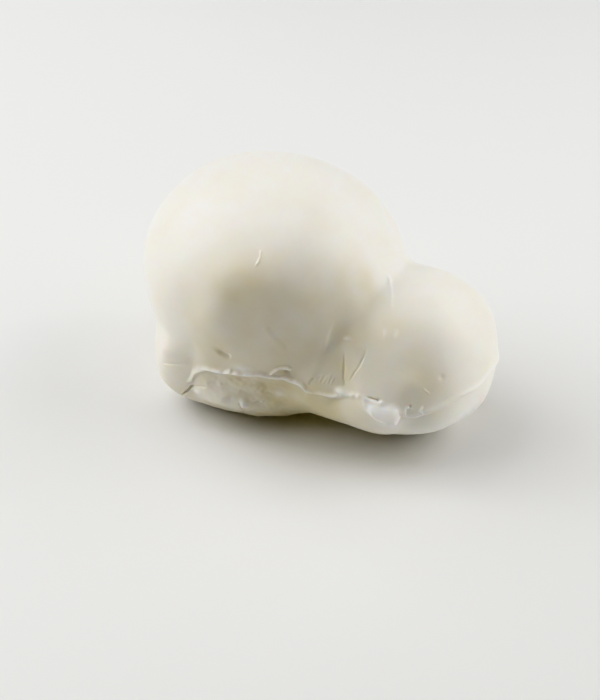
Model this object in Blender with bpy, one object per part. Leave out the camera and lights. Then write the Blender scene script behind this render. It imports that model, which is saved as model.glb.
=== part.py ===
"""A white scamorza, lying on its side: a big ball, a soft neck and a smaller head ball in one solid."""
import bpy
import bmesh
import numpy as np

# All lengths in millimetres, before the last step. +X runs from the big ball to the head,
# -Y is the side with the heel, +Z is up, and the flat it rests on is at z = 0.
MM = 0.001

# The big ball, slumped under its own weight.
BODY_MIDDLE = (-16.0, 0.0, 40.9)
BODY_RADII = (43.3, 40.0, 35.5)

# The lower half of the big ball, which tucks in under it.
FOOT_MIDDLE = (-16.3, 2.4, 15.2)
FOOT_RADII = (34.7, 38.5, 22.3)
FOOT_BLEND = 16.0

# The rounded heel that bulges low down at the near end of the big ball.
HEEL_MIDDLE = (-31.9, -26.3, 15.1)
HEEL_RADII = (12.0, 12.0, 11.5)
HEEL_BLEND = 12.0

# The head ball.
HEAD_MIDDLE = (32.7, 0.0, 25.0)
HEAD_RADII = (27.2, 29.0, 26.6)

# The neck that fills the waist between the two balls.
NECK_MIDDLE = (13.0, -4.4, 22.0)
NECK_RADII = (23.4, 28.3, 18.9)
NECK_BLEND = 10.0
WAIST_BLEND = 8.0

# The edge of the flat it rests on is rounded by this much.
FLAT_BLEND = 3.0

# The seam left by moulding runs all round, and stands proud as a thin ridge.
SEAM_AT_BODY = 25.5
SEAM_AT_HEAD = 24.5
SEAM_RIDGE = 1.0
SEAM_HALF_ANGLE = 2.6

# How finely the skin is divided.
RINGS_BODY_END = 12
RINGS_MIDDLE = 15
RINGS_HEAD_END = 10
POINTS_ABOVE = 30
POINTS_BELOW = 22

CHEESE_COLOUR = (0.84, 0.81, 0.73, 1.0)
CHEESE_ROUGHNESS = 0.42


def clear_scene():
    """Remove whatever the scene holds."""
    for thing in list(bpy.data.objects):
        bpy.data.objects.remove(thing, do_unlink=True)


def ball(points, middle, radii):
    """Distance from points to an ellipsoid's skin, negative inside."""
    offset = points - np.array(middle)
    radii = np.array(radii)
    near = np.linalg.norm(offset / radii, axis=-1)
    slope = np.linalg.norm(offset / radii ** 2, axis=-1)
    return near * (near - 1.0) / np.maximum(slope, 1e-9)


def blend(first, second, width):
    """Join two shapes with a soft fillet of the given width."""
    share = np.clip(0.5 + 0.5 * (second - first) / width, 0.0, 1.0)
    return second * (1.0 - share) + first * share - width * share * (1.0 - share)


def skin(points):
    """The whole cheese as one distance, zero on the skin."""
    body = ball(points, BODY_MIDDLE, BODY_RADII)
    foot = ball(points, FOOT_MIDDLE, FOOT_RADII)
    heel = ball(points, HEEL_MIDDLE, HEEL_RADII)
    head = ball(points, HEAD_MIDDLE, HEAD_RADII)
    neck = ball(points, NECK_MIDDLE, NECK_RADII)
    big = blend(body, foot, FOOT_BLEND)
    big = blend(big, heel, HEEL_BLEND)
    small = blend(head, neck, NECK_BLEND)
    whole = blend(big, small, WAIST_BLEND)
    # The flat underneath is a soft cut at z = 0.
    return -blend(-whole, points[..., 2], FLAT_BLEND)


def reach(starts, directions):
    """How far each ray runs from inside before it meets the skin."""
    low = np.zeros(len(starts))
    high = np.full(len(starts), 90.0)
    for _ in range(40):
        middle = 0.5 * (low + high)
        outside = skin(starts + directions * middle[:, None]) > 0.0
        high = np.where(outside, middle, high)
        low = np.where(outside, low, middle)
    return 0.5 * (low + high)


def ring_angles():
    """Angles round the cheese from the seam on the far side, over the top and back underneath."""
    edge = SEAM_HALF_ANGLE
    above = np.linspace(edge, 180.0 - edge, POINTS_ABOVE)
    below = np.linspace(180.0 + edge, 360.0 - edge, POINTS_BELOW)
    return np.radians(np.concatenate([[0.0], above, [180.0], below]))


def stations():
    """Start point and lean of every ring: fanned at both ends, upright in between."""
    start = np.array([BODY_MIDDLE[0], 0.0, SEAM_AT_BODY])
    finish = np.array([HEAD_MIDDLE[0], 0.0, SEAM_AT_HEAD])
    rings = []
    for step in range(1, RINGS_BODY_END + 1):
        rings.append((start, 90.0 * (1.0 - step / RINGS_BODY_END)))
    for step in range(1, RINGS_MIDDLE):
        rings.append((start + (finish - start) * step / RINGS_MIDDLE, 0.0))
    for step in range(RINGS_HEAD_END):
        rings.append((finish, -90.0 * step / RINGS_HEAD_END))
    return start, finish, rings


def ring_points(start, lean):
    """Points of one ring on the skin, with the seam's ridge raised."""
    angles = ring_angles()
    lean = np.radians(lean)
    directions = np.stack([
        np.full(len(angles), -np.sin(lean)),
        np.cos(angles) * np.cos(lean),
        np.sin(angles) * np.cos(lean),
    ], axis=-1)
    starts = np.repeat(start[None, :], len(angles), axis=0)
    length = reach(starts, directions)
    length[0] += SEAM_RIDGE
    length[POINTS_ABOVE + 1] += SEAM_RIDGE
    return starts + directions * length[:, None]


def end_point(start, sign):
    """The point where the seam turns round one end."""
    direction = np.array([[sign, 0.0, 0.0]])
    length = reach(start[None, :], direction) + SEAM_RIDGE
    return start + direction[0] * length[0]


def make_skin():
    """All points of the skin, and how many make one ring."""
    start, finish, rings = stations()
    points = [ring_points(place, lean) for place, lean in rings]
    count = len(points[0])
    ends = [end_point(start, -1.0), end_point(finish, 1.0)]
    cloud = np.concatenate(points + [np.array(ends)])
    # The flat is truly flat.
    cloud[:, 2] = np.where(cloud[:, 2] < 0.05, 0.0, cloud[:, 2])
    # The origin is under the middle of the bounding box.
    middle = 0.5 * (cloud.min(axis=0) + cloud.max(axis=0))
    cloud[:, 0] -= middle[0]
    cloud[:, 1] -= middle[1]
    return cloud * MM, count, len(rings)


def make_cheese():
    """One closed solid: rings joined side by side, closed by a point at each end."""
    cloud, count, rings = make_skin()
    sheet = bmesh.new()
    corners = [sheet.verts.new(place) for place in cloud.tolist()]
    for ring in range(rings - 1):
        for place in range(count):
            after = (place + 1) % count
            near = ring * count
            far = near + count
            sheet.faces.new([corners[near + place], corners[near + after],
                             corners[far + after], corners[far + place]])
    last = (rings - 1) * count
    for place in range(count):
        after = (place + 1) % count
        sheet.faces.new([corners[-2], corners[after], corners[place]])
        sheet.faces.new([corners[-1], corners[last + place], corners[last + after]])
    bmesh.ops.recalc_face_normals(sheet, faces=sheet.faces)
    bmesh.ops.triangulate(sheet, faces=sheet.faces)
    mesh = bpy.data.meshes.new("scamorza")
    sheet.to_mesh(mesh)
    sheet.free()
    mesh.shade_smooth()
    cheese = bpy.data.objects.new("scamorza", mesh)
    bpy.context.scene.collection.objects.link(cheese)
    return cheese


def cheese_material():
    """The milky white, slightly moist skin."""
    material = bpy.data.materials.new("fresh_white_cheese")
    material.use_nodes = True
    shader = material.node_tree.nodes["Principled BSDF"]
    shader.inputs["Base Color"].default_value = CHEESE_COLOUR
    shader.inputs["Roughness"].default_value = CHEESE_ROUGHNESS
    shader.inputs["Metallic"].default_value = 0.0
    return material


def main():
    """Build the scamorza."""
    clear_scene()
    cheese = make_cheese()
    cheese.data.materials.append(cheese_material())


main()
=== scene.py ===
"""A whole white scamorza lying on its side, on a pale stage.

It has the seam of its mould, the folds of its tied neck and the torn spots along the seam.
"""
import math

import bpy
import numpy as np
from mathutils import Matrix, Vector, kdtree, noise


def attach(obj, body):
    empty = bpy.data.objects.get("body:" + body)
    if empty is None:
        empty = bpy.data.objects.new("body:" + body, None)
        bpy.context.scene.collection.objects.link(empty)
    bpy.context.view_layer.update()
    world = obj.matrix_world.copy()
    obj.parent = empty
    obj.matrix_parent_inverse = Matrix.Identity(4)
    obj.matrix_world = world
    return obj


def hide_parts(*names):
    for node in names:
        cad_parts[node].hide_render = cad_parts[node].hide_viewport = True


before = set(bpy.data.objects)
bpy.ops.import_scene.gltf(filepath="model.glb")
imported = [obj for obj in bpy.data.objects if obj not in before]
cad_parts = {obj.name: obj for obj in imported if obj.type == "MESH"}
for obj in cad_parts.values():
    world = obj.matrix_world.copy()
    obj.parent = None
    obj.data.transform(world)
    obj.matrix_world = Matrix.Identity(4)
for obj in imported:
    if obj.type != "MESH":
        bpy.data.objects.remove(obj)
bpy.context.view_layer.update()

bl_info = {
    "name": "Scamorza",
    "version": (1, 0, 0),
    "blender": (4, 5, 0),
    "location": "3D View > Sidebar > Cheese",
    "description": "Models a white scamorza cheese and the stage it is shown on",
    "category": "Add Mesh",
}

MM = 0.001
MAX_FACES = 200000

# ---------------------------------------------------------------------------------------------
# Places on the cheese, in millimetres. +X runs from the big ball to the head ball and -Y is the
# side with the torn seam. Each mark is drawn through its places in order.

# The seam all round, starting at the near end: x, y, z, how far its lip stands out, and how far the
# skin under it is set in.
SEAM_MIDDLE = (6.0, 0.0)
SEAM = (
    (-44.0, -32.5, 21.0, 0.2, 0.1), (-36.0, -38.5, 18.5, 0, 0.0), (-28.5, -39.5, 16.5, 0, 0.0),
    (-26.0, -39.7, 17.2, 0.3, 0.1), (-24.6, -39.6, 20.0, 0.5, 0.1), (-22.8, -39.4, 22.2, 0.6, 0.1),
    (-20.5, -39.3, 23.8, 0.88, 0.2), (-17.0, -39.2, 24.3, 0.99, 0.2), (-14.2, -39.0, 24.7, 1.1, 0.2),
    (-11.5, -38.8, 25.7, 1.38, 0.25), (-8.2, -38.1, 25.9, 1.38, 0.25), (-5.3, -37.4, 26.4, 1.32, 0.25),
    (-2.5, -36.7, 26.7, 1.2, 0.25), (0.0, -35.8, 26.4, 1.2, 0.3), (2.8, -34.6, 26.3, 1.32, 0.3),
    (5.0, -33.9, 26.6, 1.32, 0.3), (7.5, -33.3, 25.8, 1.32, 0.3), (10.0, -33.2, 25.5, 1.2, 0.3),
    (11.5, -33.2, 24.8, 0.96, 0.3), (13.0, -33.4, 23.8, 0.8, 0.2), (14.5, -33.3, 23.9, 0.4, 0.2),
    (16.0, -33.2, 24.1, 0.2, 0.2), (18.7, -32.8, 24.4, 0.6, 0.2), (21.7, -32.2, 24.5, 0.9, 0.2),
    (23.9, -31.9, 25.1, 0.6, 0.2), (27.8, -32.6, 27.4, 0.3, 0.2), (31.5, -33.3, 28.6, 0.1, 0.1),
    (35.3, -33.0, 28.7, 0, 0.1), (40.3, -32.1, 28.1, 0, 0.1), (43.5, -31.5, 26.1, 0.15, 0.1),
    (45.0, -30.3, 24.4, 0.45, 0.2), (46.7, -29.2, 24.0, 0.55, 0.2), (48.3, -28.5, 24.4, 0.55, 0.2),
    (50.3, -27.6, 25.5, 0.3, 0.2), (52.9, -25.5, 26.6, 0.25, 0.2), (55.2, -22.2, 27.2, 0.2, 0.1),
    (57.1, -18.0, 27.8, 0.2, 0.1), (58.5, -14.6, 27.5, 0.35, 0.2), (59.9, -8.9, 27.1, 0.6, 0.2),
    (60.4, -3.8, 27.7, 0.65, 0.2), (60.4, 0.6, 27.7, 0.65, 0.5), (57.0, 12.0, 24.5, 0.3, 0.3),
    (50.0, 22.0, 25.0, 0.4, 0.4), (36.0, 29.0, 25.5, 0.4, 0.4), (20.0, 33.0, 26.0, 0.5, 0.5),
    (0.0, 38.5, 27.0, 0.5, 0.5), (-20.0, 41.0, 26.5, 0.5, 0.5), (-40.0, 33.0, 25.5, 0.5, 0.5),
    (-52.0, 16.0, 25.0, 0.6, 0.5), (-54.0, -2.0, 24.5, 0.6, 0.4), (-51.0, -18.0, 23.0, 0.4, 0.3),
)

# Thin marks: creases, torn edges and scratches.
MARKS = {
    "heel_crease": ((-37.1, -38.3, 19.4), (-34.3, -39.0, 20.7), (-31.4, -39.2, 21.7), (-26.9, -39.2, 23.2)),
    "heel_crack": ((-31.5, -37.3, 7.6), (-27.7, -39.1, 11.9), (-26.2, -39.5, 14.2), (-24.6, -39.5, 15.6)),
    "crack_tail": ((-24.6, -39.5, 15.6), (-21.9, -39.3, 16.6), (-19.3, -39.2, 17.5)),
    "flap": ((1.0, -35.5, 27.2), (1.9, -35.3, 28.6), (3.1, -35.1, 30.0), (4.4, -34.6, 30.8),
             (6.0, -33.9, 31.0), (7.1, -33.5, 30.5), (7.6, -33.3, 29.7)),
    "fold_left": ((13.5, -33.1, 25.5), (13.9, -32.6, 27.4), (14.8, -31.8, 29.3), (15.5, -30.2, 32.7),
                  (15.5, -29.1, 35.5), (16.4, -27.6, 39.3), (16.8, -26.5, 43.3), (17.5, -24.0, 47.5)),
    "fold_middle": ((21.9, -25.9, 38.3), (22.8, -27.7, 35.5), (23.4, -29.1, 33.1), (23.9, -30.1, 31.1),
                    (24.8, -30.9, 29.5), (26.2, -31.6, 28.7)),
    "fold_right": ((25.8, -30.7, 30.8), (26.6, -30.3, 32.3), (27.3, -29.5, 34.2), (28.2, -28.2, 36.2),
                   (28.5, -26.8, 38.1), (28.7, -25.8, 39.3), (28.4, -24.0, 41.4)),
    "wrinkle_a": ((19.8, -30.0, 31.6), (19.5, -30.9, 29.8), (18.8, -32.1, 27.0)),
    "wrinkle_b": ((19.2, -30.3, 31.0), (18.3, -31.5, 28.8), (17.5, -32.1, 27.4)),
    "wrinkle_c": ((20.8, -30.2, 31.0), (20.6, -31.0, 29.2), (20.0, -31.8, 27.4)),
    "wrinkle_d": ((17.7, -30.6, 30.9), (16.9, -31.5, 29.0), (16.3, -32.4, 27.2)),
    "head_crack": ((32.9, -33.0, 29.2), (34.6, -32.8, 29.2), (36.2, -32.6, 29.1), (37.7, -32.3, 29.0)),
    "curl_a": ((45.9, -29.0, 27.5), (45.2, -29.6, 27.0), (45.1, -30.2, 26.1), (45.3, -30.1, 24.5)),
    "curl_b": ((49.8, -27.0, 27.8), (49.3, -27.7, 26.8), (49.4, -28.0, 26.1), (50.2, -27.7, 25.6)),
    "scratch": ((48.1, -24.9, 33.0), (50.7, -24.4, 30.8)),
    "nick": ((-6.4, -27.0, 66.8), (-5.6, -28.9, 64.8), (-6.0, -31.0, 62.6)),
    "groove": ((-17.6, -40.5, 35.4), (-14.6, -40.3, 34.0), (-11.8, -39.9, 33.0), (-10.2, -39.6, 32.7)),
    "press": ((8.2, -33.5, 37.0), (4.9, -35.3, 41.6), (2.3, -36.3, 45.1), (1.1, -36.5, 47.8)),
    "lump_edge": ((-9.3, -37.4, 14.4), (-8.8, -36.7, 12.3), (-8.0, -35.8, 10.2)),
    "streak_a": ((31.5, -18.7, 46.2), (32.7, -20.5, 44.8), (33.2, -22.2, 43.4)),
    "streak_b": ((35.3, -18.0, 46.4), (36.3, -19.3, 45.4), (36.1, -21.2, 43.9)),
    "top_fold": ((24.7, -2.2, 53.7), (26.3, -4.5, 52.3), (28.5, -7.9, 51.1), (30.5, -11.5, 49.9),
                 (32.1, -14.5, 48.7)),
}
# The foot of the left fold is a crease as well.
FOLD_FOOT = ((13.6, -32.9, 26.2), (13.9, -32.6, 27.4), (14.9, -31.8, 29.0))

# Broad marks, where a hand or the string left the skin fuller or hollower.
SWELLS = {
    "front_edge": ((-11.5, -39.4, 29.8), (-14.3, -40.6, 37.0), (-14.8, -40.4, 45.0), (-14.4, -38.2, 53.0),
                   (-11.0, -35.7, 58.6), (-4.2, -33.1, 59.4), (3.5, -30.3, 57.4), (9.0, -27.2, 54.6),
                   (14.0, -23.8, 51.5)),
    "neck_fill": ((24.2, -27.5, 34.5), (24.0, -26.0, 37.5), (23.8, -24.6, 40.0), (22.7, -21.5, 44.0),
                  (22.6, -17.3, 49.0), (22.9, -12.2, 52.6)),
    "heel_valley": ((-23.3, -40.0, 34.8), (-24.8, -39.2, 29.0), (-25.4, -39.1, 24.6), (-25.3, -39.5, 20.5)),
    "band": ((-26.0, -39.6, 15.0), (-21.0, -39.2, 14.0), (-15.0, -38.3, 13.0), (-9.0, -37.2, 12.5),
             (-2.0, -36.0, 13.5)),
    "head_edge": ((43.8, -23.0, 38.9), (44.2, -25.0, 36.1), (44.2, -26.7, 33.5), (44.5, -28.4, 30.2),
                  (45.2, -29.4, 27.3)),
    "head_side": ((48.0, -14.0, 43.5), (49.5, -17.3, 39.7), (50.9, -20.1, 35.6), (52.3, -22.5, 31.2),
                  (53.2, -24.5, 27.5)),
}

# Patches of painted light and painted shade, with no height: middle, radius, share of the radius along x, y
# and z, and how pale the patch is. Above 0 it is painted light, a paler curd; below 0 it is painted shade, a
# deeper cream.
ROUND = (1.0, 1.0, 1.0)
LIGHT_AND_SHADE_PATCHES = (
    ((37.5, -32.0, 32.0), 9.0, ROUND, 0.5), ((46.0, -24.0, 36.5), 5.5, (1.0, 1.0, 1.6), -0.25),
    ((47.0, -27.8, 27.5), 7.0, (1.3, 1.0, 0.7), 0.3), ((-9.0, -34.0, 62.0), 9.0, ROUND, -0.28),
    ((9.0, -27.5, 56.5), 10.0, (1.3, 1.0, 1.0), 0.15), ((-16.0, -38.8, 18.0), 6.0, (1.6, 1.0, 0.8), 0.25),
    ((-16.5, -39.0, 50.5), 6.0, ROUND, 0.25), ((38.0, -23.5, 40.5), 6.5, ROUND, 0.4),
    ((45.0, -27.5, 18.0), 10.0, (1.3, 1.3, 0.7), 0.6), ((57.5, -14.0, 18.0), 11.0, (1.0, 1.3, 0.8), 0.9),
)

# Round the head the skin flares out towards the seam by this much, at this height.
SKIRT = 4.3
SKIRT_HEIGHT = 26.0
# Outline of the torn flake on the head, seen from the front: x and z.
FLAKE = ((32.1, 28.8), (34.0, 28.7), (37.0, 28.7), (39.7, 28.2), (42.0, 27.8), (43.1, 26.8), (43.4, 24.8),
         (42.6, 23.3), (40.6, 22.9), (37.4, 23.9), (34.9, 25.6), (33.2, 27.3))


def curve_through(places, steps=14):
    """Points of a smooth curve through the given places."""
    places = np.array(places, dtype=float)
    padded = np.vstack([2 * places[0] - places[1], places, 2 * places[-1] - places[-2]])
    share = np.linspace(0.0, 1.0, steps, endpoint=False)[:, None]
    pieces = []
    for index in range(len(places) - 1):
        a, b, c, d = padded[index:index + 4]
        pieces.append(0.5 * (2 * b + (c - a) * share + (2 * a - 5 * b + 4 * c - d) * share ** 2
                             + (3 * b - a - 3 * c + d) * share ** 3))
    return np.vstack(pieces + [places[-1:]])


def seam_at(bearings):
    """Height, lip, inset and slope (gain per millimetre) of the seam at these bearings in degrees."""
    seam = np.array(SEAM)
    x, y = seam[:, 0] - SEAM_MIDDLE[0], seam[:, 1] - SEAM_MIDDLE[1]
    table = np.column_stack([np.degrees(np.arctan2(y, x)), np.hypot(x, y), seam[:, 2:]])
    table = table[np.argsort(table[:, 0])]
    turn = np.array([360.0, 0.0, 0.0, 0.0, 0.0])
    fine = curve_through(np.vstack([table[-3:] - turn, table, table[:3] + turn]), steps=10)
    columns = [np.interp(bearings, fine[:, 0], fine[:, column]) for column in (1, 2, 3, 4)]
    radius, height, lip, inset = columns
    rise = np.gradient(fine[:, 2], fine[:, 0] + np.arange(len(fine)) * 1e-9)
    slope = np.interp(bearings, fine[:, 0], rise) / (np.radians(1.0) * radius)
    return height, lip, inset, slope


def smoothstep(value, low, high):
    """Rise from 0 to 1 between two limits, with soft ends."""
    share = np.clip((value - low) / (high - low), 0.0, 1.0)
    return share * share * (3.0 - 2.0 * share)


def bearing_of(points):
    """Bearing round the cheese in degrees, 0 towards the head."""
    return np.degrees(np.arctan2(points[:, 1] - SEAM_MIDDLE[1], points[:, 0] - SEAM_MIDDLE[0]))


def unevenness(points, size, seed):
    """Soft random relief between about -1 and 1, with lumps of the given size."""
    shift = Vector((seed * 17.3, seed * 5.1, seed * 9.7))
    return np.array([noise.noise(Vector(place) / size + shift) for place in points.tolist()])


# ---------------------------------------------------------------------------------------------
# The smooth form


def ball_distance(points, middle, radii):
    """Distance from points to an ellipsoid's skin, negative inside."""
    offset = points - np.array(middle)
    radii = np.array(radii)
    near = np.linalg.norm(offset / radii, axis=-1)
    slope = np.linalg.norm(offset / radii ** 2, axis=-1)
    return near * (near - 1.0) / np.maximum(slope, 1e-9)


def soft_join(first, second, softness):
    """Join two shapes with a rounded fillet that has no edge of its own."""
    nearest = np.minimum(first, second)
    both = np.exp((nearest - first) / softness) + np.exp((nearest - second) / softness)
    return nearest - softness * np.log(both)


def place_setting(name, description, default):
    """A setting that holds three lengths in metres."""
    return bpy.props.FloatVectorProperty(name=name, description=description, default=default, size=3,
                                         unit="LENGTH", subtype="TRANSLATION", precision=4)


class FormSizes(bpy.types.PropertyGroup):
    """Sizes of the balls that the cheese is made of"""

    body_middle: place_setting("Big ball", "Middle of the big ball", (-0.01686, -0.00097, 0.0412))
    body_radii: place_setting("Big ball radii", "Half sizes of the big ball", (0.0433, 0.0396, 0.0356))
    foot_middle: place_setting("Foot", "Middle of the big ball's lower half", (-0.0175, 0.0011, 0.0157))
    foot_radii: place_setting("Foot radii", "Half sizes of that lower half", (0.0350, 0.0386, 0.0230))
    heel_middle: place_setting("Heel", "Middle of the low bulge at the near end", (-0.0327, -0.0277, 0.0155))
    heel_radii: place_setting("Heel radii", "Half sizes of the heel", (0.0108, 0.0108, 0.0116))
    head_middle: place_setting("Head ball", "Middle of the head ball", (0.0326, -0.00097, 0.0253))
    head_radii: place_setting("Head ball radii", "Half sizes of the head ball", (0.0272, 0.0291, 0.0262))
    neck_middle: place_setting("Neck", "Middle of the neck", (0.0140, -0.0050, 0.0218))
    neck_radii: place_setting("Neck radii", "Half sizes of the neck", (0.0234, 0.0280, 0.0188))


BALLS = ("body", "foot", "heel", "head", "neck")


def form_of(sizes):
    """Middle and half sizes of each ball, in millimetres."""
    form = {}
    for name in BALLS:
        middle, radii = getattr(sizes, name + "_middle"), getattr(sizes, name + "_radii")
        form[name] = (np.array(middle) / MM, np.array(radii) / MM)
    return form


def skirt(points):
    """How far the head's skin stands out towards the seam, like a skirt, in millimetres."""
    bearing = bearing_of(points)
    down = np.clip((SKIRT_HEIGHT - points[:, 2]) / 10.0, 0.0, 1.0)
    start = smoothstep(bearing, -61.0 - 14.0 * down, -51.0 + 8.0 * down)
    amount = SKIRT * start * (1.0 - smoothstep(bearing, -10.0, 35.0))
    amount = amount * (1.0 - 0.75 * smoothstep(bearing, -34.0, -4.0))
    amount = amount * (1.0 - 0.35 * np.exp(-((bearing + 36.0) / 5.0) ** 2))
    above = np.clip((points[:, 2] - SKIRT_HEIGHT) / 16.0, 0.0, 1.0)
    return amount * (1.0 - above) ** 2 * smoothstep(points[:, 2], 5.5, 19.0)


def skin_distance(points, form):
    """Distance to the smooth skin of the whole cheese, in millimetres."""
    big = soft_join(ball_distance(points, *form["body"]), ball_distance(points, *form["foot"]), 4.5)
    big = soft_join(big, ball_distance(points, *form["heel"]), 3.5)
    small = soft_join(ball_distance(points, *form["head"]), ball_distance(points, *form["neck"]), 3.0)
    whole = soft_join(big, small, 2.6) - skirt(points)
    return -soft_join(-whole, points[:, 2], 0.8)


def skin_slope(points, form, reach=0.2):
    """Outward direction of the smooth skin at each point."""
    sides = []
    for axis in range(3):
        nudge = np.zeros(3)
        nudge[axis] = reach
        sides.append(skin_distance(points + nudge, form) - skin_distance(points - nudge, form))
    return np.stack(sides, axis=-1) / (2.0 * reach)


def settle(points, form, rounds=6):
    """Move points onto the smooth skin."""
    for _ in range(rounds):
        slope = skin_slope(points, form)
        steep = np.maximum((slope ** 2).sum(axis=-1), 0.05)
        points = points - slope * (skin_distance(points, form) / steep)[:, None]
    return points


def directions(points, form):
    """Unit normals of the smooth skin."""
    slope = skin_slope(points, form)
    return slope / np.linalg.norm(slope, axis=-1, keepdims=True)


# ---------------------------------------------------------------------------------------------
# Marks on the skin. Each adds to a height in millimetres, and some also drag the skin sideways.


class Skin:
    """The points being shaped, their normals and the relief gathered so far."""

    def __init__(self, points, form):
        self.form = form
        self.points = points
        self.normals = directions(points, form)
        self.height = np.zeros(len(points))
        self.drag = np.zeros((len(points), 3))
        self.moist = np.zeros(len(points))
        self.pale = np.zeros(len(points))
        self.bearing = bearing_of(points)
        height, self.lip, self.inset, slope = seam_at(self.bearing)
        self.above_seam = (points[:, 2] - height) / np.sqrt(1.0 + slope ** 2)

    def beside(self, places, reach):
        """Points near a curve: their index, distance, share along it and side (positive on its left)."""
        line = settle(curve_through(places), self.form, rounds=4)
        low, high = line.min(axis=0) - reach, line.max(axis=0) + reach
        index = np.nonzero(((self.points > low) & (self.points < high)).all(axis=1))[0]
        near = self.points[index]
        start, run = line[:-1], np.diff(line, axis=0)
        length = np.maximum((run ** 2).sum(axis=1), 1e-9)
        along = np.clip(((near[:, None] - start) * run).sum(axis=2) / length, 0.0, 1.0)
        foot = start + along[..., None] * run
        gap = np.linalg.norm(near[:, None] - foot, axis=2)
        best = gap.argmin(axis=1)
        rows = np.arange(len(index))
        offset = near - foot[rows, best]
        left = np.cross(self.normals[index], run[best])
        side = (offset * left).sum(axis=1)
        share = (best + along[rows, best]) / len(start)
        keep = gap[rows, best] < reach
        return index[keep], gap[rows, best][keep], share[keep], np.sign(side[keep])

    def groove(self, places, width, depth, fade=0.25, pale=0.0):
        """A crease, deepest halfway along, with a hand-made waver. Pale below 0 paints shade in it, a deeper
        cream.
        """
        index, gap, share, _ = self.beside(places, width * 3.0)
        ends = smoothstep(share, 0.0, fade) * smoothstep(1.0 - share, 0.0, fade)
        if width < 2.0:
            gap = gap + 0.3 * min(width, 0.6) * unevenness(self.points[index], 1.3, 7)
            ends = ends * (1.0 + 0.4 * unevenness(self.points[index], 2.4, 8))
        shape = ends * np.exp(-(gap / width) ** 2)
        self.height[index] -= depth * shape
        self.pale[index] += max(pale, 0.0) * shape
        self.moist[index] += max(-pale, 0.0) * shape

    def ridge(self, places, width, height, fade=0.25, pale=0.0):
        """A raised line."""
        self.groove(places, width, -height, fade, pale)

    def overlap(self, places, width, height, reach, fade=0.3):
        """A fold: the skin on the curve's left stands over the skin on its right."""
        index, gap, share, side = self.beside(places, reach * 2.5)
        ends = smoothstep(share, 0.0, fade) * smoothstep(1.0 - share, 0.0, fade)
        step = 0.5 * (1.0 + np.tanh(side * gap / width)) * np.exp(-(gap / reach) ** 2)
        self.height[index] += height * ends * step

    def lump(self, place, radius, height, squash=ROUND, pale=0.0):
        """A round bump, a dent where the height is negative, or only a patch of painted light or painted
        shade where it is 0.
        """
        middle = settle(np.array([place], dtype=float), self.form, rounds=4)[0]
        gap = np.linalg.norm((self.points - middle) / np.array(squash), axis=1)
        shape = np.exp(-(gap / radius) ** 2)
        self.height += height * shape
        self.pale += max(pale, 0.0) * shape
        self.moist += max(-pale, 0.0) * shape

    def finish(self):
        """The shaped points."""
        return self.points + self.normals * self.height[:, None] + self.drag


def add_slump(skin):
    """Gentle flats and swells that a hand leaves in a soft cheese."""
    skin.height += 0.45 * unevenness(skin.points, 30.0, 1)
    skin.height += 0.10 * unevenness(skin.points, 9.0, 2)


def add_swells(skin):
    """Where the skin stands fuller or hollower than the balls make it, and its patches of painted light and
    painted shade.
    """
    skin.ridge(SWELLS["front_edge"], 7.8, 1.3, fade=0.3)
    # The shoulder of the big ball, above the neck.
    skin.lump((6.0, -21.0, 64.0), 12.0, 0.8)
    # A hollow from the big ball to the seam, and the bulge of the heel beside it.
    skin.groove(SWELLS["heel_valley"], 2.8, 0.4)
    skin.lump((-33.5, -37.8, 25.5), 5.0, 0.6)
    skin.ridge(SWELLS["neck_fill"], 3.8, 1.0, fade=0.45)
    skin.ridge(SWELLS["head_edge"], 3.8, 0.9, fade=0.5)
    skin.ridge(SWELLS["head_side"], 6.0, 0.25, fade=0.4)
    # The head: its far shoulder, its end low down, and the hollow where it tucks in under itself.
    skin.lump((51.0, 14.0, 39.0), 9.0, 1.1)
    skin.lump((58.5, -1.0, 14.0), 8.0, 0.9)
    skin.lump((47.0, -19.0, 7.0), 10.0, -0.6)
    # The crest of the heel's bulge and of the shoulder.
    skin.lump((-36.5, -37.0, 24.5), 3.8, 0.8)
    skin.lump((1.0, -25.5, 64.8), 12.0, 1.1)
    # The band's crest is also painted paler: painted light.
    skin.ridge(SWELLS["band"], 4.5, 2.2, fade=0.4, pale=0.5)
    # Painted light and painted shade, one patch at a time.
    for place, radius, squash, pale in LIGHT_AND_SHADE_PATCHES:
        skin.lump(place, radius, 0.0, squash, pale)


def add_seam(skin):
    """The lip of the mould seam, ragged where it tore, with the lower half set in a little, painted shade
    under the lip and a painted highlight on its crest.
    """
    up = skin.above_seam
    near = np.abs(up) < 8.0
    torn = smoothstep(skin.bearing, -135.0, -125.0) * (1.0 - smoothstep(skin.bearing, -66.0, -50.0))
    ragged, coarse = np.zeros(len(up)), np.zeros(len(up))
    ragged[near] = unevenness(skin.points[near] * [1.0, 1.0, 0.25], 1.6, 3)
    coarse[near] = unevenness(skin.points[near] * [1.0, 1.0, 0.25], 4.5, 4)
    up = up - torn * (0.24 * ragged + 0.16 * coarse)
    lip = skin.lip * (1.0 + torn * (0.24 * ragged + 0.2 * coarse))
    crest = lip * np.where(up > 0.0, np.exp(-(up / 0.85) ** 2), np.exp(-(up / 0.42) ** 2))
    under = smoothstep(-up, 0.0, 0.9) * smoothstep(skin.points[:, 2], 2.0, 9.0)
    skin.height += crest - skin.inset * under
    skin.drag[:, 2] += 0.12 * crest
    # Painted shade just under the lip, in a deeper cream.
    skin.moist += 0.3 * np.exp(-((up + 0.9) / 0.6) ** 2) * np.clip(skin.inset * 1.6 - 0.3, 0.0, 1.0)
    # A painted highlight along the lip's crest in a paler curd, partly the lip's own paler thin curd.
    skin.pale += np.clip(0.9 * crest, 0.0, 1.0)


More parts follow.
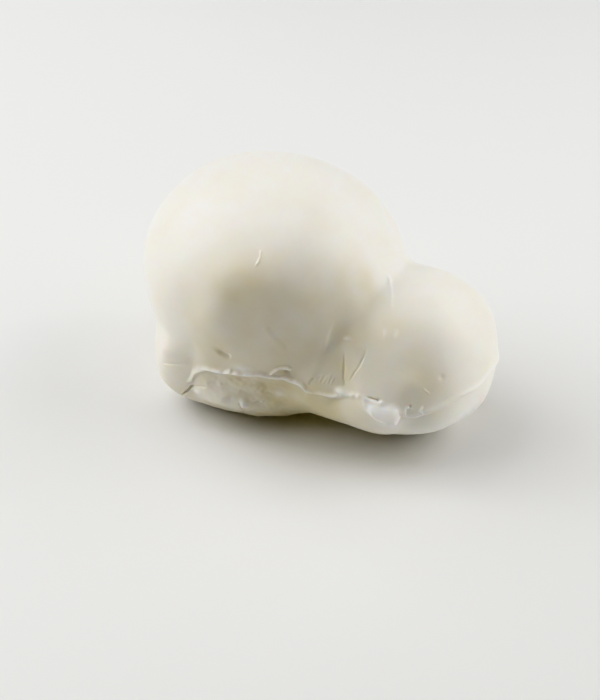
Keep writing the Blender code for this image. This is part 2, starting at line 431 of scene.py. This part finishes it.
def add_neck_folds(skin):
    """Creases where the neck was tied and drawn in, between the big ball and the head."""
    skin.overlap(MARKS["fold_left"], 0.7, 0.5, 3.5, fade=0.2)
    skin.groove(MARKS["fold_middle"], 0.45, 0.42)
    # The right fold's crease is painted a deeper cream: painted shade.
    skin.groove(MARKS["fold_right"], 0.36, 0.2, fade=0.25, pale=-0.3)
    skin.groove(FOLD_FOOT, 0.4, 0.3)
    for name in ("wrinkle_a", "wrinkle_b", "wrinkle_c", "wrinkle_d"):
        skin.ridge(MARKS[name], 0.32, 0.2, fade=0.4)
    # A nub between the folds.
    skin.lump((21.9, -23.9, 41.2), 0.7, 0.5, (1.8, 1.0, 0.7), pale=0.6)
    skin.ridge(MARKS["top_fold"], 0.55, 0.22, pale=0.4)
    skin.ridge(MARKS["streak_a"], 0.6, 0.14, fade=0.4, pale=0.4)
    skin.ridge(MARKS["streak_b"], 0.6, 0.16, fade=0.4, pale=0.4)
    # The white lump where the neck meets the seam.
    skin.lump((23.9, -31.4, 26.8), 1.3, 1.3, (1.4, 1.0, 0.8), pale=1.2)


def add_torn_lip(skin):
    """A flap of the seam's lip that lifted and curled over a small hollow, and a low mound left of it."""
    skin.ridge(MARKS["flap"], 0.36, 1.0, fade=0.1, pale=1.0)
    # The flap's root and the hollow it curls over.
    skin.lump((3.6, -34.9, 28.2), 1.2, 0.5, (1.5, 1.0, 0.9))
    skin.lump((5.9, -33.9, 29.2), 0.75, -0.9, (1.6, 1.0, 0.7))
    # The low mound left of it, the dent in it and a crumb.
    skin.lump((-6.3, -38.2, 28.6), 2.0, 0.8, (1.5, 1.0, 0.9), pale=0.6)
    skin.lump((-5.4, -37.8, 28.3), 0.6, -0.3, (1.8, 1.0, 0.7))
    skin.lump((-11.3, -38.8, 26.8), 0.5, 0.4, pale=0.6)


def depth_inside(points, outline):
    """Distance from the edge of an outline, positive inside."""
    ahead = np.roll(outline, -1, axis=0)
    run = ahead - outline
    along = np.clip(((points[:, None] - outline) * run).sum(axis=2) / (run ** 2).sum(axis=1), 0.0, 1.0)
    gap = np.linalg.norm(points[:, None] - outline - along[..., None] * run, axis=2).min(axis=1)
    rises = (outline[:, 1] > points[:, None, 1]) != (ahead[:, 1] > points[:, None, 1])
    climb = np.where(run[:, 1] == 0.0, 1e-9, run[:, 1])
    crossing = outline[:, 0] + run[:, 0] * (points[:, None, 1] - outline[:, 1]) / climb
    inside = (rises & (points[:, None, 0] < crossing)).sum(axis=1) % 2 == 1
    return np.where(inside, gap, -gap)


def add_flake(skin):
    """A smooth flake folded down over the seam, painted paler, a dark crack along its top and small curls
    beside it.
    """
    near = (skin.points[:, 1] < -18.0) & (skin.points[:, 0] > 26.0) & (skin.points[:, 2] < 33.0)
    index = np.nonzero(near)[0]
    points = skin.points[index]
    inside = depth_inside(points[:, [0, 2]], np.array(FLAKE))
    # It hangs free: the further below its fold, the further it stands off the head.
    drop = np.clip((27.8 - points[:, 2]) / 6.0, 0.0, 1.0)
    inside = inside + 0.5 * unevenness(points, 2.2, 9) + 0.2 * unevenness(points, 0.9, 10)
    cover, domed = smoothstep(inside, -0.8, 0.9), smoothstep(inside, -1.1, 1.0)
    proud = (0.3 + 1.2 * drop + 3.3 * drop ** 1.5) * domed
    skin.height[index] += proud + 0.3 * cover * unevenness(points, 3.0, 11)
    # The flake and the spot below it are painted paler: partly the paler torn curd, partly painted light.
    skin.pale[index] += 1.3 * cover * smoothstep(points[:, 0], 28.0, 35.0)
    skin.lump((41.5, -31.5, 21.8), 3.2, 0.3, (1.3, 1.0, 0.8), pale=0.7)
    # The crack, its deepest spot and the crumbs beside it.
    skin.groove(MARKS["head_crack"], 0.34, 1.0, fade=0.5)
    skin.lump((36.9, -32.5, 29.0), 0.55, -0.8, (1.4, 1.0, 1.0))
    skin.lump((38.3, -32.4, 28.6), 0.5, 0.25, pale=0.3)
    skin.lump((28.5, -32.8, 27.7), 0.7, 0.45, pale=0.5)
    skin.lump((30.6, -33.1, 28.7), 0.6, 0.35, pale=0.4)
    # A swell below the seam, between the neck and the head.
    skin.lump((28.2, -33.6, 21.6), 4.5, 0.7, (1.3, 1.0, 0.8))
    # Two small curls right of the flake, and the pit in the first.
    skin.ridge(MARKS["curl_a"], 0.24, 0.3, fade=0.15, pale=0.3)
    skin.ridge(MARKS["curl_b"], 0.24, 0.4, fade=0.15, pale=0.3)
    skin.lump((46.2, -28.8, 27.6), 0.5, -0.5)


def add_rough_band(skin):
    """The torn skin below the seam at the heel: a ragged surface, painted shade on it and low on the front,
    the crack, lumps and a pit.
    """
    x, z = skin.points[:, 0], skin.points[:, 2]
    zone = (skin.points[:, 1] < -20.0) & (x > -34.0) & (x < 12.0) & (z < 27.0)
    along = smoothstep(x, -29.0, -23.0) * (1.0 - smoothstep(x, -1.0, 9.0))
    share = along * smoothstep(-skin.above_seam, 0.6, 2.5)
    index = np.nonzero(zone)[0]
    rough = 0.5 * unevenness(skin.points[index], 4.5, 5) + 0.25 * unevenness(skin.points[index], 1.6, 6)
    skin.height[index] += share[index] * rough
    # Painted shade in a deeper cream, in uneven patches: on the band under the torn seam, which faces down,
    # on the side that faces the camera up to about 60 mm, and a little low all round.
    torn = smoothstep(skin.bearing, -150.0, -128.0) * (1.0 - smoothstep(skin.bearing, -68.0, -54.0))
    torn = torn * (0.2 + 0.4 * smoothstep(skin.bearing, -105.0, -85.0))
    shaded_front = smoothstep(skin.bearing, -142.0, -118.0) * (1.0 - smoothstep(skin.bearing, -40.0, -15.0))
    low = 0.5 * shaded_front * (1.0 - smoothstep(z, 52.0, 70.0))
    low = low + 0.1 * (1.0 - smoothstep(z, 20.0, 45.0))
    patchy = 0.75 + 0.5 * unevenness(skin.points, 6.0, 12)
    skin.moist += (torn * smoothstep(-skin.above_seam, 0.5, 4.0) + low) * patchy
    # The crack at the heel and the lumps above and beside it.
    skin.groove(MARKS["heel_crack"], 0.3, 1.5, fade=0.15)
    skin.groove(MARKS["crack_tail"], 0.4, 0.35)
    skin.lump((-21.4, -39.3, 19.8), 1.9, 0.3)
    skin.lump((-23.2, -39.1, 14.0), 1.2, 0.8, (1.3, 1.0, 0.9), pale=0.6)
    # The white lump with a sharp edge, then the pit with a crumb on its rim.
    skin.lump((-7.7, -37.0, 13.6), 1.3, 1.2, (1.0, 1.0, 1.4), pale=1.0)
    skin.groove(MARKS["lump_edge"], 0.45, 0.8)
    skin.lump((-3.4, -35.1, 13.3), 1.1, -0.9, (1.4, 1.0, 1.0))
    skin.lump((-2.6, -35.0, 14.2), 0.5, 0.7, pale=1.0)
    # Smaller lumps and a dent along the band.
    skin.lump((3.5, -34.0, 18.5), 1.6, 0.6, (1.2, 1.0, 1.2), pale=0.5)
    skin.lump((-15.1, -38.9, 19.4), 0.4, 0.5, pale=0.8)
    skin.lump((-12.2, -38.1, 14.5), 1.0, -0.4, (1.6, 1.0, 0.8))


def add_small_marks(skin):
    """Dents, nicks and scratches on the smooth skin."""
    skin.groove(MARKS["groove"], 1.15, 0.85, fade=0.45)
    skin.overlap(MARKS["press"], 1.0, 0.45, 2.6)
    skin.groove(MARKS["press"], 1.1, 0.3)
    skin.ridge(MARKS["nick"], 0.3, 0.25, pale=0.5)
    # A crease over the heel, with a low roll of skin under it.
    skin.groove(MARKS["heel_crease"], 0.4, 0.13)
    skin.ridge([(x, y, z - 0.8) for x, y, z in MARKS["heel_crease"][:-1]], 0.4, 0.08)
    skin.ridge(MARKS["scratch"], 0.3, 0.12, fade=0.35, pale=0.3)
    # A dent and a crumb on the head, and a crumb on the big ball.
    skin.lump((51.9, -19.6, 34.9), 0.7, -0.3)
    skin.lump((43.2, -9.4, 48.2), 0.45, 0.3)
    skin.lump((-9.7, -18.8, 72.4), 0.4, 0.3)


# ---------------------------------------------------------------------------------------------
# Making the mesh


def deselect_all():
    """Nothing selected, object mode."""
    if bpy.context.object and bpy.context.object.mode != "OBJECT":
        bpy.ops.object.mode_set(mode="OBJECT")
    bpy.ops.object.select_all(action="DESELECT")


def add_ball(middle, radii):
    """One ball of the cheese, at its size and place."""
    bpy.ops.mesh.primitive_uv_sphere_add(segments=96, ring_count=64, radius=1.0, location=middle,
                                         scale=radii)
    bpy.ops.object.transform_apply(location=True, rotation=True, scale=True)
    return bpy.context.object


def apply_modifier(piece, kind, **settings):
    """Add a modifier, set it and apply it."""
    modifier = piece.modifiers.new(kind.title(), kind)
    for name, value in settings.items():
        setattr(modifier, name, value)
    bpy.context.view_layer.objects.active = piece
    bpy.ops.object.modifier_apply(modifier=modifier.name)


def read_points(piece):
    """Vertex places in millimetres."""
    flat = np.empty(len(piece.data.vertices) * 3)
    piece.data.vertices.foreach_get("co", flat)
    return flat.reshape(-1, 3) / MM


def write_points(piece, points):
    """Put the vertices at these places, given in millimetres."""
    piece.data.vertices.foreach_set("co", (points * MM).ravel())
    piece.data.update()


def divide_where(piece, chooser):
    """Divide the faces that the chooser picks by the place of their middles, each edge in two."""
    flat = np.empty(len(piece.data.polygons) * 3)
    piece.data.polygons.foreach_get("center", flat)
    chosen = chooser(flat.reshape(-1, 3) / MM)
    bpy.context.tool_settings.mesh_select_mode = (False, False, True)
    bpy.ops.object.mode_set(mode="EDIT")
    bpy.ops.mesh.select_all(action="DESELECT")
    bpy.ops.object.mode_set(mode="OBJECT")
    piece.data.polygons.foreach_set("select", chosen)
    bpy.ops.object.mode_set(mode="EDIT")
    bpy.ops.mesh.subdivide(number_cuts=1)
    bpy.ops.object.mode_set(mode="OBJECT")


def seam_places(form):
    """Points of the seam on the smooth skin, all round."""
    bearings = np.linspace(-180.0, 180.0, 721)
    height, lip, _, _ = seam_at(bearings)
    turns, level = np.radians(bearings), np.zeros(len(bearings))
    out = np.column_stack([np.cos(turns), np.sin(turns), level])
    middle = np.column_stack([level + SEAM_MIDDLE[0], level + SEAM_MIDDLE[1], height])
    # The skin lies between these two distances, and the gap between them is halved each time.
    near, far = level + 5.0, level + 90.0
    for _ in range(24):
        half = 0.5 * (near + far)
        inside = skin_distance(middle + out * half[:, None], form) < 0.0
        near, far = np.where(inside, half, near), np.where(inside, far, half)
    return (middle + out * near[:, None])[lip > 0.15]


def reach_finder(lines):
    """A function that tells which points lie within a reach of the lines."""
    places = np.vstack(lines)
    tree = kdtree.KDTree(len(places))
    for index, place in enumerate(places):
        tree.insert(place, index)
    tree.balance()
    return lambda points, reach: np.array([tree.find(place)[2] < reach for place in points.tolist()])


def divide_for_marks(piece, form):
    """Divide the faces three times over, each time closer round the seam and the marks."""
    thin = [seam_places(form)]
    for places in MARKS.values():
        thin.append(settle(curve_through(places, steps=8), form, rounds=3))
    # The flake's outline starts at a rough depth, and settling carries it onto the skin.
    flake = np.array([(x, -30.0 + max(0.0, x - 34.0) * 0.25, z) for x, z in FLAKE])
    thin.append(settle(curve_through(np.vstack([flake, flake[:1]]), steps=8), form, rounds=3))
    broad = [settle(curve_through(places, steps=8), form, rounds=3) for places in SWELLS.values()]
    near_thin, near_any = reach_finder(thin), reach_finder(thin + broad)

    def band(points):
        """The torn band under the seam, the neck and the flake."""
        under = (points[:, 0] > -29.0) & (points[:, 0] < 10.0) & (points[:, 1] < -18.0)
        under &= (points[:, 2] > 6.0) & (points[:, 2] < 26.0)
        neck = (points[:, 0] > 14.0) & (points[:, 0] < 43.0) & (points[:, 1] < -24.0) & (points[:, 2] > 16.0)
        return under | neck

    divide_where(piece, lambda points: near_any(points, 5.0) | band(points))
    divide_where(piece, lambda points: near_thin(points, 2.2) | band(points))
    divide_where(piece, lambda points: near_thin(points, 0.9) & (points[:, 1] < 6.0))


def make_cheese_mesh(sizes, grain):
    """Join the balls, remesh them as one body, and shape its skin."""
    deselect_all()
    balls = []
    for name in BALLS:
        balls.append(add_ball(getattr(sizes, name + "_middle"), getattr(sizes, name + "_radii")))
    for ball in balls:
        ball.select_set(True)
    bpy.context.view_layer.objects.active = balls[0]
    bpy.ops.object.join()
    cheese = bpy.context.object
    cheese.name = "scamorza_cheese"
    cheese.data.name = "scamorza_cheese"
    apply_modifier(cheese, "REMESH", mode="VOXEL", voxel_size=grain)
    bpy.ops.object.mode_set(mode="EDIT")
    bpy.ops.mesh.select_all(action="SELECT")
    bpy.ops.mesh.bisect(plane_co=(0.0, 0.0, 0.0), plane_no=(0.0, 0.0, 1.0), use_fill=True, clear_inner=True)
    bpy.ops.object.mode_set(mode="OBJECT")
    apply_modifier(cheese, "REMESH", mode="VOXEL", voxel_size=grain)
    apply_modifier(cheese, "SMOOTH", factor=0.5, iterations=6)
    form = form_of(sizes)
    write_points(cheese, settle(read_points(cheese), form))
    divide_for_marks(cheese, form)
    write_points(cheese, settle(read_points(cheese), form))
    return cheese, form


class ColourSettings(bpy.types.PropertyGroup):
    """Colours of the cheese and its stage"""

    curd: bpy.props.StringProperty(name="Curd", default="#F2EFE8",
                                   description="Milky white of the skin, as an sRGB hex value")
    # The deeper cream of the whey clouds, and also painted shade: in a crease, under the lips, on the band
    # under the seam, low on the front, and in patches.
    moist: bpy.props.StringProperty(name="Whey and painted shade", default="#E4DAB8",
                                    description="Deeper cream in creases and under lips")
    # The paler curd of torn spots and crumbs, and also painted light: on the seam's crest, on the flake and
    # in patches.
    torn: bpy.props.StringProperty(name="Torn curd and painted light", default="#FBF9F3",
                                   description="Paler curd where the skin is thin or torn")
    floor: bpy.props.StringProperty(name="Floor", description="Pale floor of the stage", default="#E6E6E4")


def linear(colour):
    """Turn an sRGB hex value into a linear RGBA colour."""
    parts = [int(colour.lstrip("#")[place:place + 2], 16) / 255.0 for place in (0, 2, 4)]
    return [part / 12.92 if part <= 0.04045 else ((part + 0.055) / 1.055) ** 2.4 for part in parts] + [1.0]


def add_node(tree, kind, settings=None, values=None, links=None):
    """Add one node with its settings, socket values and incoming links."""
    node = tree.nodes.new(kind)
    for name, value in (settings or {}).items():
        setattr(node, name, value)
    for socket, value in (values or {}).items():
        node.inputs[socket].default_value = value
    for socket, source in (links or {}).items():
        tree.links.new(source, node.inputs[socket])
    return node


def new_material(name):
    """A material holding only its shader."""
    material = bpy.data.materials.new(name)
    material.use_nodes = True
    return material, material.node_tree, material.node_tree.nodes["Principled BSDF"]


def curd_material(colours):
    """Fresh stretched curd: milky, lets light in a few millimetres, with a wet satin skin.

    Water and fat give an index near 1.4. The skin is smooth, with faint stretch marks and cloudy patches
    where whey gathers. Painted shade in a deeper cream and painted light in a paler curd come from the
    skin's attributes.
    """
    material, tree, shader = new_material("stretched_curd")
    place = add_node(tree, "ShaderNodeTexCoord").outputs["Object"]
    # Clouds of whey about 14 mm across, and finer ones of about 4 mm.
    clouds = add_node(tree, "ShaderNodeTexNoise", values={"Scale": 70.0, "Detail": 3.0, "Roughness": 0.55},
                      links={"Vector": place}).outputs["Fac"]
    # Painted shade from the mesh attribute, in the deeper cream, on top of the whey clouds.
    moist = add_node(tree, "ShaderNodeAttribute", {"attribute_name": "moist"}).outputs["Fac"]
    patch = add_node(tree, "ShaderNodeMapRange",
                     values={"From Min": 0.35, "From Max": 0.75, "To Min": 0.0, "To Max": 0.22},
                     links={"Value": clouds}).outputs["Result"]
    amount = add_node(tree, "ShaderNodeMath", {"operation": "ADD", "use_clamp": True},
                      links={0: patch, 1: moist}).outputs["Value"]
    mix = add_node(tree, "ShaderNodeMix", {"data_type": "RGBA"}, links={"Factor": amount})
    mix.inputs["A"].default_value = linear(colours.curd)
    mix.inputs["B"].default_value = linear(colours.moist)
    # Paler curd from the mesh attribute: the torn spots and crumbs, and painted light.
    torn = add_node(tree, "ShaderNodeAttribute", {"attribute_name": "pale"}).outputs["Fac"]
    pale_and_painted_light_mix = add_node(tree, "ShaderNodeMix", {"data_type": "RGBA"}, links={"Factor": torn})
    pale_and_painted_light_mix.inputs["B"].default_value = linear(colours.torn)
    tree.links.new(mix.outputs["Result"], pale_and_painted_light_mix.inputs["A"])
    tree.links.new(pale_and_painted_light_mix.outputs["Result"], shader.inputs["Base Color"])
    # The wet film is uneven: roughness drifts over about 10 mm.
    film = add_node(tree, "ShaderNodeTexNoise", values={"Scale": 100.0, "Detail": 2.0},
                    links={"Vector": place})
    rough = add_node(tree, "ShaderNodeMapRange",
                     values={"From Min": 0.3, "From Max": 0.7, "To Min": 0.36, "To Max": 0.5},
                     links={"Value": film.outputs["Fac"]})
    tree.links.new(rough.outputs["Result"], shader.inputs["Roughness"])
    # Faint fibres of the stretched curd, drawn 1 mm apart so that they show at all.
    turn = add_node(tree, "ShaderNodeMapping", values={"Scale": (0.35, 1.0, 1.0)}, links={"Vector": place})
    fibre = add_node(tree, "ShaderNodeTexNoise", values={"Scale": 900.0, "Detail": 3.0},
                     links={"Vector": turn.outputs["Vector"]})
    bump = add_node(tree, "ShaderNodeBump", values={"Strength": 0.12, "Distance": 0.0002},
                    links={"Height": fibre.outputs["Fac"]})
    tree.links.new(bump.outputs["Normal"], shader.inputs["Normal"])
    shader.inputs["IOR"].default_value = 1.4
    shader.inputs["Specular IOR Level"].default_value = 0.5
    shader.inputs["Subsurface Weight"].default_value = 0.6
    shader.inputs["Subsurface Radius"].default_value = (1.0, 0.75, 0.45)
    shader.inputs["Subsurface Scale"].default_value = 0.0013
    # A film of whey over the skin, smoother than the curd under it.
    shader.inputs["Coat Weight"].default_value = 0.3
    shader.inputs["Coat Roughness"].default_value = 0.28
    shader.inputs["Coat IOR"].default_value = 1.34
    return material


class SCAMORZA_OT_cheese(bpy.types.Operator):
    """Model the whole cheese and give it its skin"""

    bl_idname = "scamorza.cheese"
    bl_label = "Cheese"

    def execute(self, context):
        settings = context.scene.scamorza
        cheese, form = make_cheese_mesh(settings.form, settings.grain)
        skin = Skin(read_points(cheese), form)
        add_slump(skin)
        add_swells(skin)
        add_seam(skin)
        add_neck_folds(skin)
        add_torn_lip(skin)
        add_flake(skin)
        add_rough_band(skin)
        add_small_marks(skin)
        # The flat underneath stays flat.
        rest = smoothstep(skin.points[:, 2], 0.3, 4.0)
        skin.height *= rest
        skin.drag *= rest[:, None]
        points = skin.finish()
        points[:, 2] = np.maximum(points[:, 2], 0.0)
        write_points(cheese, points)
        # The painted shade, and the paler curd with its painted light, go on the mesh as attributes.
        for name, values in (("moist", skin.moist), ("pale", skin.pale)):
            layer = cheese.data.attributes.new(name, "FLOAT", "POINT")
            layer.data.foreach_set("value", np.clip(values, 0.0, 1.0).astype(np.float32))
        bpy.ops.object.mode_set(mode="EDIT")
        bpy.ops.mesh.select_all(action="SELECT")
        bpy.ops.mesh.quads_convert_to_tris(quad_method="BEAUTY", ngon_method="BEAUTY")
        bpy.ops.object.mode_set(mode="OBJECT")
        bpy.ops.object.shade_smooth()
        cheese.data.materials.clear()
        cheese.data.materials.append(curd_material(settings.colours))
        if len(cheese.data.polygons) >= MAX_FACES:
            raise RuntimeError("the cheese has too many faces")
        print("cheese faces", len(cheese.data.polygons))
        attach(cheese, "root")
        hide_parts("scamorza")
        return {"FINISHED"}


def floor_material(colours):
    """Matt paper that covers the table."""
    material, _, shader = new_material("table_paper")
    shader.inputs["Base Color"].default_value = linear(colours.floor)
    shader.inputs["Roughness"].default_value = 0.6
    return material


# Square soft boxes that stand round a point in the cheese, in metres.
BOX_AIM = (0.0, 0.0, 0.03)
BOX_DISTANCE = 0.8
BOX_SIDE = 0.55
# Name, turn from the camera towards its right in degrees, angle above the floor, watts and colour. The
# ones behind are daylight, the ones beside a little warmer.
SOFT_BOXES = (
    ("left_high", 270.0, 55.0, 1.85, (1.0, 0.99, 0.98)),
    ("left_low", 269.0, 26.0, 1.9, (1.0, 0.99, 0.96)),
    ("back_left_low", 240.0, 26.0, 2.4, (0.97, 0.98, 1.0)),
    ("back_left_high", 225.0, 55.0, 1.25, (0.96, 0.98, 1.0)),
    ("back_right", 121.0, 26.0, 1.7, (0.97, 0.98, 1.0)),
    ("right_low", 90.0, 10.0, 2.3, (1.0, 0.99, 0.96)),
    ("right_high", 89.0, 41.0, 2.3, (1.0, 0.99, 0.98)),
    ("top", 180.0, 88.0, 1.15, (0.97, 0.98, 1.0)),
    ("warm_fill", 350.0, 20.0, 0.18, (1.0, 0.8, 0.4)),
)


def add_light(name, place, target, power, colour):
    """A square soft box that faces its target."""
    bpy.ops.object.light_add(type="AREA", location=place)
    light = bpy.context.object
    light.name = name
    light.data.shape = "RECTANGLE"
    light.data.size, light.data.size_y = BOX_SIDE, BOX_SIDE
    light.data.energy = power
    light.data.color = colour
    light.rotation_euler = (Vector(target) - Vector(place)).to_track_quat("-Z", "Y").to_euler()


class StageSettings(bpy.types.PropertyGroup):
    """Camera and light"""

    bearing: bpy.props.FloatProperty(name="Camera bearing", description="Turn from -Y towards +X",
                                     default=math.radians(28.91), subtype="ANGLE")
    height: bpy.props.FloatProperty(name="Camera height", description="Angle above the floor",
                                    default=math.radians(38.0), subtype="ANGLE")
    distance: bpy.props.FloatProperty(name="Camera distance", description="From the aim point",
                                      default=0.5975, unit="LENGTH")
    aim: place_setting("Aim", "Point in the middle of the view", (-0.01371, 0.01039, 0.0))
    lens: bpy.props.FloatProperty(name="Lens", description="Focal length on a sensor 36 mm high",
                                  default=89.85, unit="CAMERA")


class SCAMORZA_OT_stage(bpy.types.Operator):
    """Lay the floor, set the lights and place the camera"""

    bl_idname = "scamorza.stage"
    bl_label = "Stage"

    def execute(self, context):
        settings = context.scene.scamorza
        stage = settings.stage
        deselect_all()
        bpy.ops.mesh.primitive_plane_add(size=6.0, location=(0.0, 0.0, 0.0))
        floor = bpy.context.object
        floor.name = "table"
        floor.data.materials.append(floor_material(settings.colours))

        turn, tilt = stage.bearing, stage.height
        aim = Vector(stage.aim)
        back = Vector((math.sin(turn) * math.cos(tilt), -math.cos(turn) * math.cos(tilt), math.sin(tilt)))
        bpy.ops.object.camera_add(location=aim + back * stage.distance)
        camera = bpy.context.object
        camera.rotation_euler = (-back).to_track_quat("-Z", "Y").to_euler()
        camera.data.sensor_fit = "VERTICAL"
        camera.data.sensor_height = 36.0
        camera.data.lens = stage.lens
        camera.data.clip_start = 0.01
        context.scene.camera = camera

        # Directions as the camera sees them: right, away and up.
        right = Vector((math.cos(turn), math.sin(turn), 0.0))
        away = Vector((-math.sin(turn), math.cos(turn), 0.0))
        up = Vector((0.0, 0.0, 1.0))
        middle = Vector(BOX_AIM)
        for name, side, rise, power, colour in SOFT_BOXES:
            side, rise = math.radians(side), math.radians(rise)
            out = (right * math.sin(side) - away * math.cos(side)) * math.cos(rise) + up * math.sin(rise)
            add_light(name, middle + out * BOX_DISTANCE, middle, power, colour)

        # A trace of white light from all round, besides the soft boxes.
        world = bpy.data.worlds.new("studio")
        context.scene.world = world
        world.use_nodes = True
        background = world.node_tree.nodes["Background"]
        background.inputs["Color"].default_value = (1.0, 1.0, 1.0, 1.0)
        background.inputs["Strength"].default_value = 0.01
        context.scene.view_settings.view_transform = "Khronos PBR Neutral"
        context.scene.view_settings.look = "None"
        return {"FINISHED"}


class SceneSettings(bpy.types.PropertyGroup):
    """Everything a user would change"""

    form: bpy.props.PointerProperty(type=FormSizes, name="Form", description="Sizes of the balls")
    colours: bpy.props.PointerProperty(type=ColourSettings, name="Colours", description="Colours")
    stage: bpy.props.PointerProperty(type=StageSettings, name="Stage", description="Camera and light")
    grain: bpy.props.FloatProperty(name="Grain", description="Face size of the first remesh",
                                   default=0.00145, unit="LENGTH", precision=5)


class SCAMORZA_PT_panel(bpy.types.Panel):
    """Lists the cheese's operators"""

    bl_idname = "SCAMORZA_PT_panel"
    bl_label = "Scamorza"
    bl_space_type = "VIEW_3D"
    bl_region_type = "UI"
    bl_category = "Cheese"

    def draw(self, context):
        for operator in (SCAMORZA_OT_cheese, SCAMORZA_OT_stage):
            self.layout.operator(operator.bl_idname)


CLASSES = (FormSizes, ColourSettings, StageSettings, SceneSettings, SCAMORZA_OT_cheese, SCAMORZA_OT_stage,
           SCAMORZA_PT_panel)


def register():
    """Register the classes and the scene's settings."""
    for thing in CLASSES:
        bpy.utils.register_class(thing)
    bpy.types.Scene.scamorza = bpy.props.PointerProperty(type=SceneSettings, name="Scamorza",
                                                         description="Settings of the cheese and its stage")


def unregister():
    """Undo register."""
    del bpy.types.Scene.scamorza
    for thing in reversed(CLASSES):
        bpy.utils.unregister_class(thing)


def main():
    """Build the cheese and its stage."""
    register()
    bpy.ops.scamorza.cheese()
    bpy.ops.scamorza.stage()


if __name__ == "__main__":
    main()
